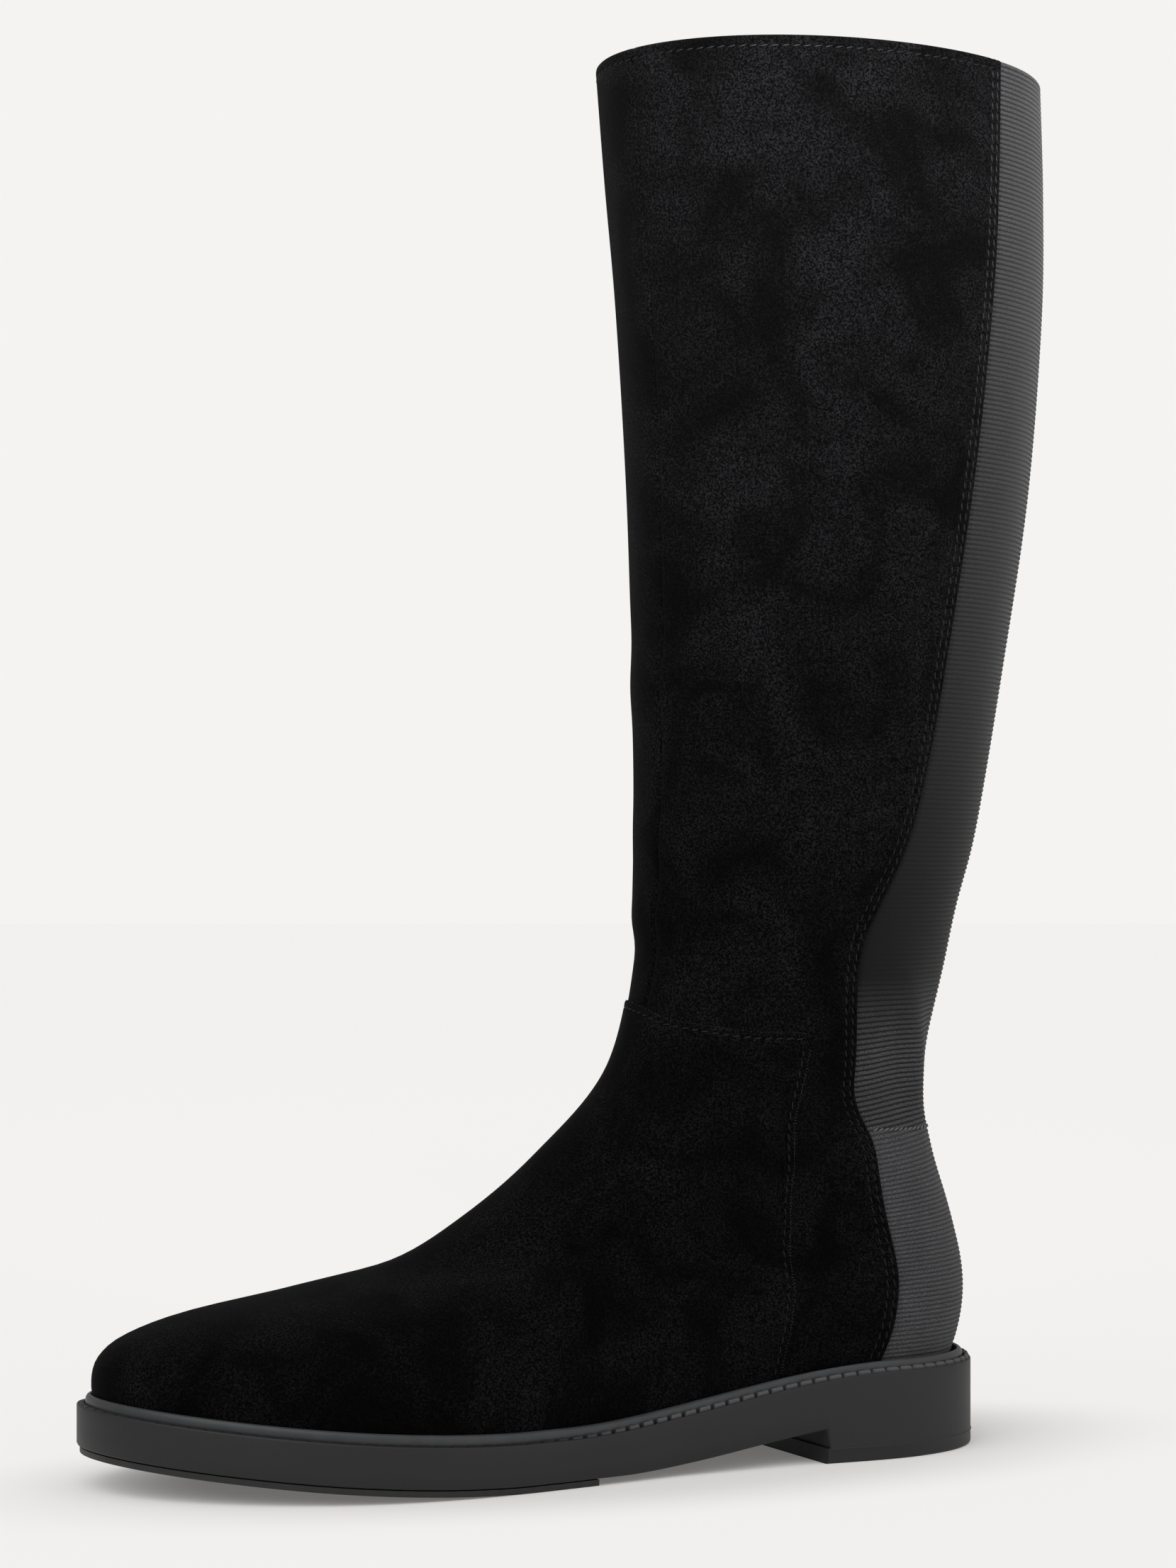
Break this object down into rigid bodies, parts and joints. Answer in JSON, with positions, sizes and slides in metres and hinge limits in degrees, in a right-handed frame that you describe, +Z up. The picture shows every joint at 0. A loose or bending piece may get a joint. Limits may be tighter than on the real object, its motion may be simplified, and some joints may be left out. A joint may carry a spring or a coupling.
{
  "type": "knee-high boot",
  "caption": "Left knee-high pull-on suede boot with a hollow shaft, ribbed elastic gore up the back, inside zip and moulded rubber unit sole with a low block heel.",
  "frame": {"origin": "middle of the box on the floor, under the boot", "axes": "+Z up the shaft, -X to the toe, -Y to the outer (lateral) side, +Y to the inner side with the zip"},
  "size_m": [0.2972, 0.1041, 0.408],
  "materials": {
    "suede": "black suede with a soft nap",
    "elastic": "ribbed woven elastic",
    "zip_tape": "black woven tape",
    "zip_coil": "black moulded nylon coil",
    "zip_metal": "black nickel plating, polished",
    "welt": "smooth moulded rubber, satin",
    "sole_rubber": "moulded rubber, matt",
    "tread_rubber": "fine tread, matt",
    "lining": "pale leather lining and sock"
  },
  "bodies": {
    "boot": {"upper": "suede", "elastic_gore": "elastic", "zip_tape": "zip_tape", "zip_chain": "zip_coil", "zip_slider": "zip_metal", "welt": "welt", "outsole": "sole_rubber", "heel_top_piece": "sole_rubber", "forepart_tread": "tread_rubber", "insole": "lining"},
    "zip_pull": {"zip_pull": "zip_metal"}
  },
  "joints": [
    {"name": "pull_hinge", "type": "hinge", "parent": "boot", "child": "zip_pull", "pos_m": [0.1078, 0.04869, 0.40012], "axis": [0.9486, -0.3097, -0.0647], "range_deg": [0, 165]}
  ]
}
